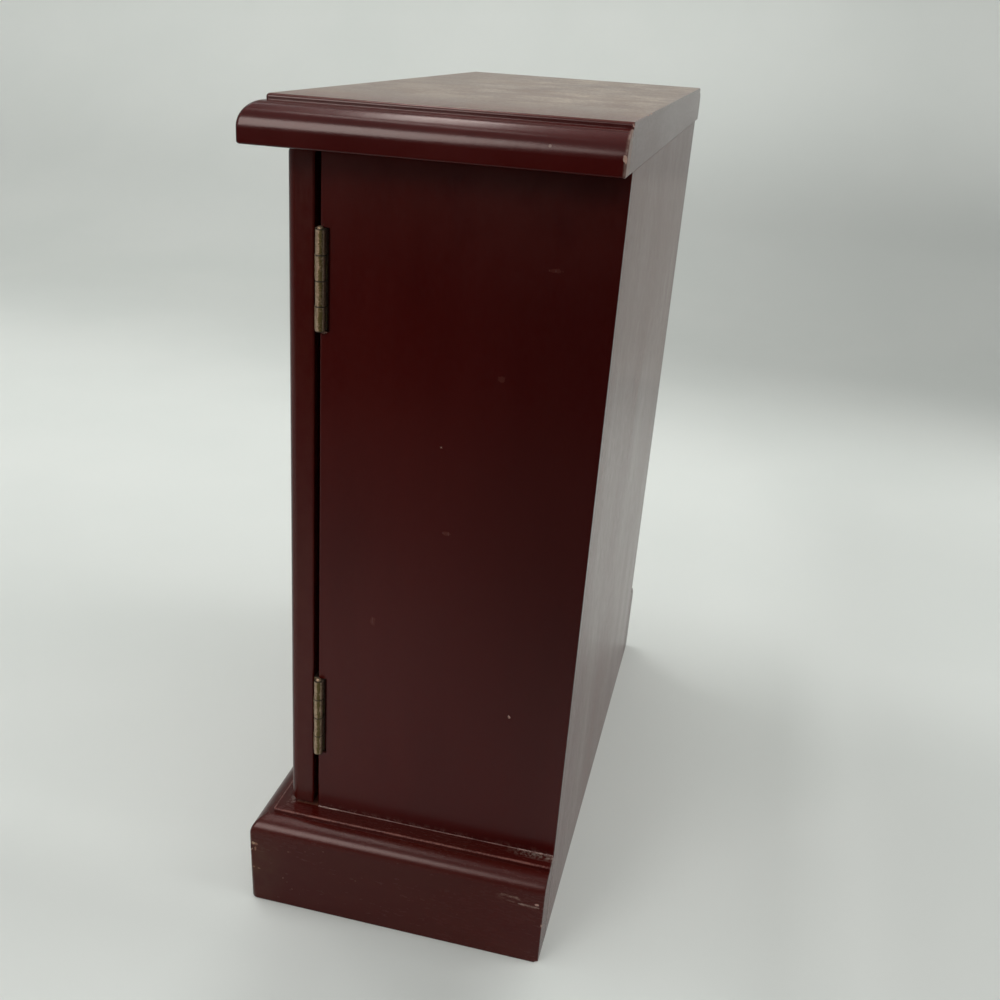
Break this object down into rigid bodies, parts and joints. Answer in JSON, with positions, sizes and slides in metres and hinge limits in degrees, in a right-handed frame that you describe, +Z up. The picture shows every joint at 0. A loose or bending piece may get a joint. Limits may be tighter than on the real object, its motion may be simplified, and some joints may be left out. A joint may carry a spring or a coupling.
{
  "type": "desktop cabinet with doors",
  "caption": "Small tabletop cabinet: moulded top and plinth, a pair of hinged overlay doors with turned knobs, and a shelf on pins inside.",
  "frame": {"origin": "centre of the footprint, on the surface the cabinet stands on", "axes": "+Z up, -Y out of the doors, +Y out of the back, +X the cabinet's right-hand end for someone facing the doors' fronts from -Y"},
  "size_m": [0.3158, 0.1394, 0.3558],
  "materials": {
    "carcass_lacquer": "dark red-brown mahogany under satin lacquer",
    "top_lacquer": "dark red-brown mahogany under polished lacquer, dusty on the flat",
    "plinth_lacquer": "dark red-brown mahogany under satin lacquer, scuffed",
    "door_lacquer": "dark red-brown mahogany under satin lacquer",
    "back_lacquer": "thin panel, dark lacquer, dusty",
    "inside_wood": "stained mahogany, thin coat",
    "raw_pine": "planed softwood, unfinished",
    "dowel_beech": "plain beech",
    "hinge_brass": "aged brass, dull",
    "pin_brass": "aged brass, rubbed heads",
    "screw_brass": "turned brass, slotted",
    "screw_steel": "plain steel, slotted",
    "knob_brass": "turned and polished brass",
    "shelf_pin_brass": "turned brass",
    "catch_plastic": "dark brown moulded plastic",
    "catch_magnet": "sintered ferrite magnet",
    "catch_steel": "zinc-plated steel"
  },
  "bodies": {
    "carcass": {"back_panel": "back_lacquer", "back_panel_pins": "screw_steel", "bottom_board": "inside_wood", "catch_left_housing": "catch_plastic", "catch_left_magnet": "catch_magnet", "catch_left_pole_plates": "catch_steel", "catch_right_housing": "catch_plastic", "catch_right_magnet": "catch_magnet", "catch_right_pole_plates": "catch_steel", "catch_screws": "screw_steel", "hinge_lower_left_pin": "pin_brass", "hinge_lower_left_side_leaf": "hinge_brass", "hinge_lower_right_pin": "pin_brass", "hinge_lower_right_side_leaf": "hinge_brass", "hinge_screws_carcass": "screw_brass", "hinge_upper_left_pin": "pin_brass", "hinge_upper_left_side_leaf": "hinge_brass", "hinge_upper_right_pin": "pin_brass", "hinge_upper_right_side_leaf": "hinge_brass", "plinth_corner_blocks": "raw_pine", "plinth_front": "plinth_lacquer", "plinth_glue_blocks": "raw_pine", "plinth_screws": "screw_steel", "plinth_side_left": "plinth_lacquer", "plinth_side_right": "plinth_lacquer", "shelf": "inside_wood", "shelf_pins": "shelf_pin_brass", "side_panel_left": "carcass_lacquer", "side_panel_right": "carcass_lacquer", "top_board": "top_lacquer", "top_dowels": "dowel_beech"},
    "door_right": {"door_right_bottom_rail": "door_lacquer", "door_right_hinge_stile": "door_lacquer", "door_right_knob": "knob_brass", "door_right_knob_screw": "screw_steel", "door_right_meeting_stile": "door_lacquer", "door_right_panel": "door_lacquer", "door_right_panel_bead": "door_lacquer", "door_right_strike_plate": "catch_steel", "door_right_strike_screw": "screw_steel", "door_right_top_rail": "door_lacquer", "hinge_lower_right_door_leaf": "hinge_brass", "hinge_screws_door_right": "screw_brass", "hinge_upper_right_door_leaf": "hinge_brass"},
    "door_left": {"door_left_bottom_rail": "door_lacquer", "door_left_hinge_stile": "door_lacquer", "door_left_knob": "knob_brass", "door_left_knob_screw": "screw_steel", "door_left_meeting_stile": "door_lacquer", "door_left_panel": "door_lacquer", "door_left_panel_bead": "door_lacquer", "door_left_strike_plate": "catch_steel", "door_left_strike_screw": "screw_steel", "door_left_top_rail": "door_lacquer", "hinge_lower_left_door_leaf": "hinge_brass", "hinge_screws_door_left": "screw_brass", "hinge_upper_left_door_leaf": "hinge_brass"}
  },
  "joints": [
    {"name": "door_right_swing", "type": "hinge", "parent": "carcass", "child": "door_right", "pos_m": [0.1403, -0.04185, 0.1937], "axis": [0, 0, 1], "range_deg": [0, 180]},
    {"name": "door_left_swing", "type": "hinge", "parent": "carcass", "child": "door_left", "pos_m": [-0.1403, -0.04185, 0.1937], "axis": [0, 0, -1], "range_deg": [0, 180]}
  ]
}
